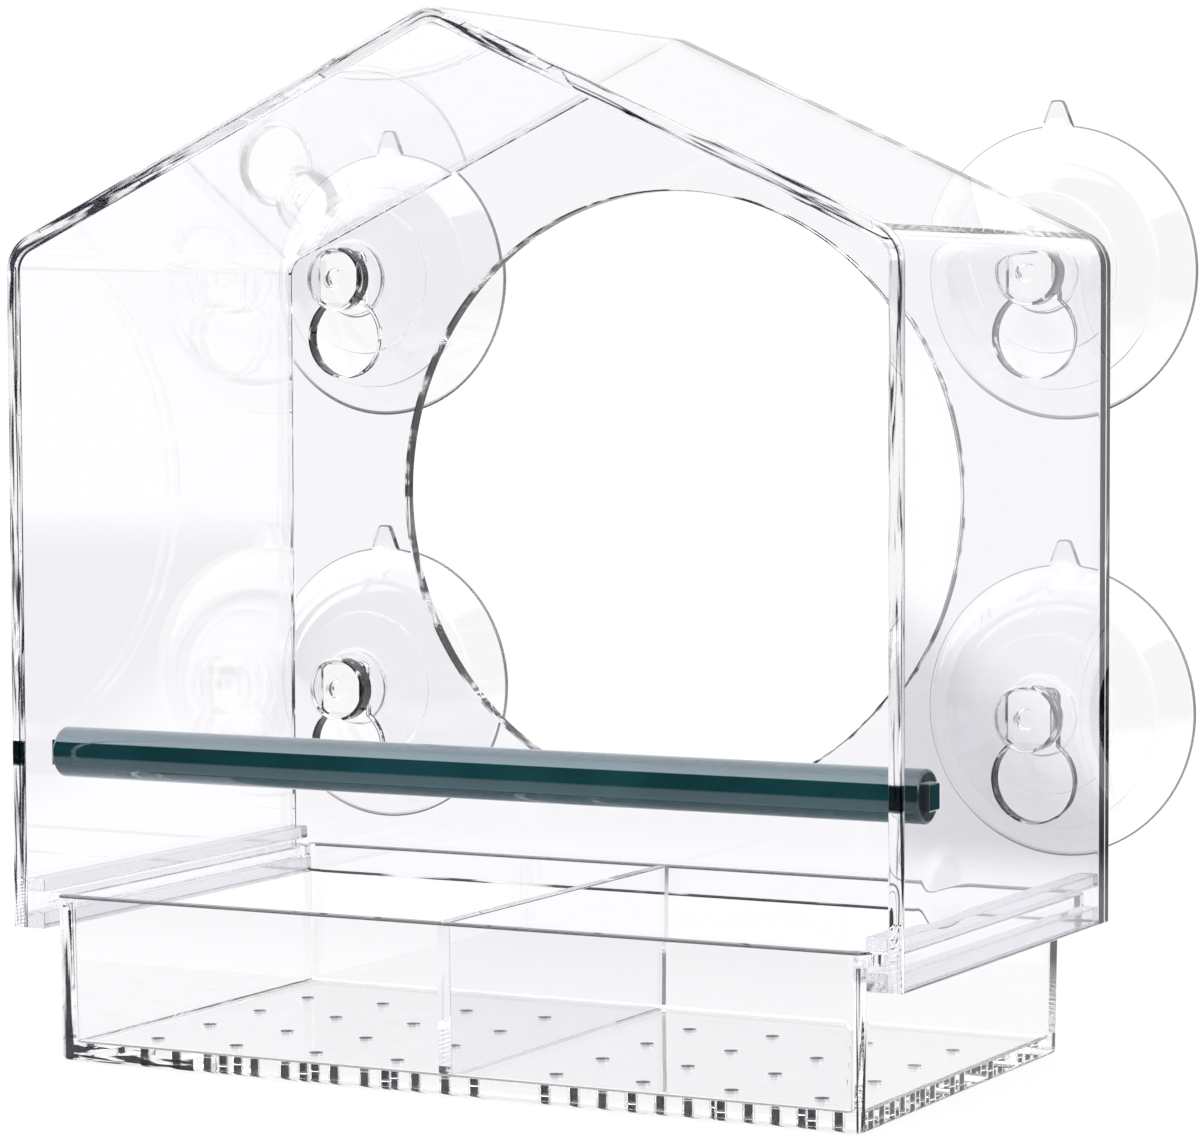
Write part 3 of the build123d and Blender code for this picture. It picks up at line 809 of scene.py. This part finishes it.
def suctionCup(name, x, z):
    c = cup
    coarse, fine = np.arange(0, 360, c["turn"]), np.arange(c["tabFrom"], c["tabTo"], c["tabStep"])
    angle = np.radians(np.unique(np.r_[coarse[np.abs(coarse - 90) > c["tabClear"]], fine]))
    count, spokes = len(angle), np.stack([np.cos(angle), 0 * angle, np.sin(angle)], 1)
    middle = np.array([x, 0, z])

    def turn(profile):
        # Radius and place along the axis, turned about the axis
        points, normals = (values[:, None, 1:] * back + values[:, None, :1] * spokes for values in profile)
        return gridPatch(middle + points, normals)

    knob, dome = (turn(roundedOutline(corners[:, :2], corners[:, 2], c["profileSteps"], closed=False))
                  for corners in (np.array(c["knob"]), np.array(c["dome"])))
    spot = faceCentres(knob) - middle
    # The right of the knob's side takes the painted reflection of the dark room
    patches = parted(knob, (2, (np.hypot(spot[:, 0], spot[:, 2]) > c["shadeRadius"])
                            & (spot[:, 0] > c["shadeRight"])))
    patches += [fanPatch(knob["points"][:count], middle + c["knob"][0][1] * back, -back), dome]
    # Squared neck, and the flat faces between it and the knob and the hub
    reach, facing = squareReach(angle, c["neckHalfX"], c["neckHalfZ"], c["neckCorner"])
    facing = np.stack([facing[:, 0], 0 * angle, facing[:, 1]], 1)
    ends = [middle + reach[:, None] * spokes + place * back for place in (c["knob"][-1][1], c["dome"][0][1])]
    patches += [gridPatch(np.stack([ends[0], knob["points"][-count:]]), back),
                gridPatch(np.stack([ends[1], dome["points"][:count]]), -back)]
    column = gridPatch(np.stack(ends), np.stack([facing, facing]))
    # and so do the flat sides of the neck
    patches += parted(column, (2, np.abs(facing[column["faces"][:, 0] % count, 0]) > c["neckFacing"]))
    # Rim with the tab: the outline is a circle or, at the top, the tapered tab, whichever reaches further.
    # The tab's reach is the softened lesser of its two slanting sides and its flat tip.
    (ringRadius, ringTop), (tabRoot, tabFront) = np.array(c["dome"])[-2:, :2]
    slopeOut = (c["rimFront"] - ringTop) / (c["rimRadius"] - ringRadius)
    turned = np.minimum(np.abs(angle - math.pi / 2), c["tabTurn"])
    sides = (c["tabHalf"] + c["tabSlope"] * c["rimRadius"]) / (np.sin(turned) + c["tabSlope"] * np.cos(turned))
    tip = c["tabTip"] / np.cos(turned)
    blend, at = c["tabBlend"], c["tabBlendAt"]
    tab = at - blend * np.log(np.exp((at - sides) / blend) + np.exp((at - tip) / blend))
    rim = np.maximum(c["rimRadius"], tab)
    raised = np.clip((rim - c["rimRadius"]) / c["tabFade"], 0, 1)
    raised = raised * raised * (3 - 2 * raised)
    front = c["rimFront"] - (c["rimFront"] - tabFront) * raised
    edge, bevel, rear, run = c["rimEdge"], c["rimEdge"] * c["rimBevel"], c["rimBack"], 2 * c["rimEdge"]
    rows = [(tabRoot, tabFront), (rim - run, front - slopeOut * run * (1 - raised)), (rim - bevel, front + bevel),
            (rim, front + edge), (rim, rear - edge), (rim - bevel, rear - bevel), (rim - edge, rear),
            (c["land"], rear)]
    ring = np.stack([middle + (y + 0 * rim)[:, None] * back + (r + 0 * rim)[:, None] * spokes for r, y in rows])
    faceWay = unit(np.cross(np.roll(ring, -1, 1) - np.roll(ring, 1, 1), np.gradient(ring, axis=0)))
    faceWay *= np.sign((faceWay[3] * spokes).sum(1).mean())
    faceWay[0], faceWay[-2:] = unit(slopeOut * spokes - back), back
    rimSkin = gridPatch(ring, faceWay)
    row = np.arange(len(rimSkin["faces"])) // count
    # The rim's faces take its painted shade
    patches += parted(rimSkin, (1, (row > 0) & (row < 6)))
    # Land and the round hollow
    depth = c["rimBack"] - c["hollowTop"]
    sphere = (c["hollowRadius"] ** 2 + depth ** 2) / (2 * depth)
    fall = np.linspace(math.asin(c["hollowRadius"] / sphere), c["hollowPole"], c["hollowSteps"])
    points = np.stack([sphere * np.sin(fall), c["hollowTop"] + sphere * (1 - np.cos(fall))], 1)
    normals = np.stack([-np.sin(fall), np.cos(fall)], 1)
    hollow = turn((np.vstack([[c["land"], c["rimBack"]], points]), np.vstack([[0, 1], normals])))
    patches += [hollow, fanPatch(hollow["points"][-count:], middle + c["hollowTop"] * back, back)]
    node = "suction_cup_" + name
    buildPiece("vinyl_" + node, patches, [softVinyl, vinylRimPaintedShade, vinylKnobPaintedReflection], node, [node])


for name, (x, z) in cups.items():
    suctionCup(name, x, z)


# Studio: a bright field. What is seen straight through the plastic is white all round; what is seen by
# reflection is white behind the object, dim on the camera's side and bright overhead.

studio = {
    "floorSize": 60.0, "floorHeight": -0.0002, "floorColour": "#7C7C7C", "floorGlow": 0.87, "white": 1.02,
    "through": 0.15, "throughEdge": (13, 28),       # what is seen by refraction, in degrees above level
    "dim": 0.03,                                    # the camera's side of the room
    # Softbox from over the front to the back: where it starts, and its level there and at the back horizon
    "frontEdge": (-0.67, -0.62), "softboxWay": (-0.62, 1.0), "softbox": (3.8, 0.92),
    "ledDepth": (3, 4),                             # inner reflections that tell light led along inside a sheet
    # In metres: where the white table ends in front of the object, its greyer strip just in front of it, and
    # the shadow right under the tray
    "tableFront": (-0.22, -0.12), "apronBack": (-0.06, -0.04), "apron": 0.85,
    "trayHalfX": (0.069, 0.071), "trayHalfY": (0.038, 0.041), "underTray": 0.4,
    # and the dark patch on the table to the right and back
    "patchLeft": (-0.02, 0.03), "patchLean": -0.5226, "patchNear": (0.2, 0.3), "patchFar": (1.1, 1.8),
}


def buildStudio():
    s, size = studio, studio["floorSize"] / 2
    mesh = bpy.data.meshes.new("studio_floor")
    mesh.from_pydata([(x * size, y * size, s["floorHeight"]) for x, y in ((-1, -1), (1, -1), (1, 1), (-1, 1))],
                     [], [(0, 1, 2, 3)])
    floor = bpy.data.objects.new("studio_floor", mesh)
    scene.collection.objects.link(floor)
    material, floorTree = newMaterial("paleLightTable")
    mesh.materials.append(material)
    world = bpy.data.worlds.new("softStudio")
    world.use_nodes = True
    scene.world = world
    worldTree = world.node_tree
    worldTree.nodes.clear()

    # Where on the floor, in metres, how far from its middle, and across the line of the dark patch
    tree = floorTree
    place = addNode(tree, "TexCoord").outputs["Object"]
    spot = addNode(tree, "SeparateXYZ", {"Vector": place}).outputs
    away = addNode(tree, "VectorMath", {"operation": "ABSOLUTE", 0: place})
    away = addNode(tree, "SeparateXYZ", {"Vector": away}).outputs
    across = addNode(tree, "Math", {
        "operation": "MULTIPLY_ADD", 0: spot["Y"], 1: s["patchLean"], 2: spot["X"]})
    clear = addNode(tree, "Math", {"operation": "MAXIMUM"})
    path = addNode(tree, "LightPath").outputs
    onFloor = {"y": spot["Y"], "awayX": away["X"], "awayY": away["Y"], "across": across, "clear": clear,
               "glossy": path["Glossy Depth"], "direct": path["Is Camera Ray"]}

    # Which way in the room: turned in the plane from front to back, -1 is the front horizon, 0 the top and 1
    # the back horizon
    tree = worldTree
    way = addNode(tree, "TexCoord").outputs["Generated"]
    way = addNode(tree, "SeparateXYZ", {"Vector": way}).outputs
    turn = addNode(tree, "CombineXYZ", {"Y": way["Y"], "Z": way["Z"]})
    turn = addNode(tree, "VectorMath", {"operation": "NORMALIZE", 0: turn})
    turn = addNode(tree, "SeparateXYZ", {"Vector": turn}).outputs
    softbox = addNode(tree, "MapRange", {
        "Value": turn["Y"], "From Min": s["softboxWay"][0], "From Max": s["softboxWay"][1],
        "To Min": s["softbox"][0], "To Max": s["softbox"][1]})
    path = addNode(tree, "LightPath").outputs
    inRoom = {"turn": turn["Y"], "height": way["Z"], "softbox": softbox,
              "bends": path["Transmission Depth"], "glossy": path["Glossy Depth"]}

    # Soft steps of light: the name of each, what it reads, its edges, and its light below and above them,
    # which may be those of earlier steps. Edges of 0 and 1 tell rays without a bounce from the others.
    floorSteps = (
        ("apron", "y", s["apronBack"], s["apron"], s["white"]),
        ("shade", "y", s["tableFront"], s["dim"], "apron"),
        ("beside", "awayX", s["trayHalfX"], 0.0, 1.0),
        ("before", "awayY", s["trayHalfY"], 0.0, 1.0),
        ("reflected", "clear", (0, 1), s["underTray"], "shade"),
        # A dark patch to the right and back, for plain reflections and not for light led along inside a sheet
        ("far", "y", s["patchFar"], s["dim"], "reflected"),
        ("near", "y", s["patchNear"], "reflected", "far"),
        ("patched", "across", s["patchLeft"], "reflected", "near"),
        ("plain", "glossy", s["ledDepth"], "patched", "shade"),
        ("unseen", "glossy", (0, 1), s["white"], "plain"))
    roomSteps = (
        ("above", "turn", s["frontEdge"], s["dim"], "softbox"),
        ("high", "height", [math.sin(math.radians(a)) for a in s["throughEdge"]], s["white"], s["through"]),
        ("bent", "bends", (0, 1), s["white"], "high"),
        ("total", "glossy", (0, 1), "bent", "above"))
    for tree, light, steps in ((floorTree, onFloor, floorSteps), (worldTree, inRoom, roomSteps)):
        for name, reads, edges, below, above in steps:
            light[name] = addNode(tree, "MapRange", {
                "interpolation_type": "SMOOTHSTEP", "Value": light[reads], "From Min": edges[0],
                "From Max": edges[1], "To Min": light.get(below, below), "To Max": light.get(above, above)})
    # The floor is clear of the tray as soon as it is clear of it one way
    for k, name in enumerate(("beside", "before")):
        floorTree.links.new(onFloor[name].outputs[0], clear.inputs[k])

    # A pale light table: part paint, part glow, so that shadows on it stay faint. Seen by reflection it ends a
    # little in front of the object and is dark right under the tray.
    tree, direct = floorTree, onFloor["direct"]
    strength = addNode(tree, "MapRange", {
        "Value": direct, "To Min": onFloor["unseen"], "To Max": s["floorGlow"]})
    paintTone = addNode(tree, "Mix", {
        "data_type": "RGBA", "Factor": direct, 6: linearColour("#000000"), 7: linearColour(s["floorColour"])})
    paint = addNode(tree, "BsdfDiffuse", {"Color": paintTone.outputs[2]})
    glow = addNode(tree, "Emission", {"Strength": strength})
    both = addNode(tree, "AddShader", {0: paint, 1: glow})
    addNode(tree, "OutputMaterial", {"Surface": both})
    room = addNode(worldTree, "Background", {"Color": (1, 1, 1, 1), "Strength": inRoom["total"]})
    addNode(worldTree, "OutputWorld", {"Surface": room})


buildStudio()


# Camera: where the photograph was taken from, the principal point a little below the middle of the frame
lens = {"place": (307.05, -572.87, 114.03), "azimuth": 27.6, "elevation": 3.4, "roll": -0.2,
        "focalPixels": 4163.6, "frameWidth": 1202, "lowered": 8.3, "sensor": 36}


def buildCamera():
    a, e, r = (math.radians(lens[k]) for k in ("azimuth", "elevation", "roll"))
    backWay = np.array([math.sin(a) * math.cos(e), -math.cos(a) * math.cos(e), math.sin(e)])
    side = np.array([math.cos(a), math.sin(a), 0])
    over = np.cross(backWay, side)
    turnedSide = side * math.cos(r) + over * math.sin(r)
    turnedUp = over * math.cos(r) - side * math.sin(r)
    camera = bpy.data.cameras.new("camera")
    camera.sensor_width = lens["sensor"]
    camera.lens = lens["sensor"] * lens["focalPixels"] / lens["frameWidth"]
    camera.shift_y = lens["lowered"] / lens["frameWidth"]
    camera.clip_start, camera.clip_end = 0.01, 50
    holder = bpy.data.objects.new("camera", camera)
    scene.collection.objects.link(holder)
    matrix = Matrix(np.c_[turnedSide, turnedUp, backWay].tolist()).to_4x4()
    matrix.translation = [v * mm for v in lens["place"]]
    holder.matrix_world = matrix
    scene.camera = holder


buildCamera()

# Light passes many faces of clear plastic before it reaches the room
scene.cycles.max_bounces = 44
scene.cycles.transmission_bounces = 40
scene.cycles.glossy_bounces = 40
scene.cycles.diffuse_bounces = 3
scene.cycles.transparent_max_bounces = 16
scene.view_settings.view_transform = "Standard"
print("studio and camera set")

bpy.context.view_layer.update()
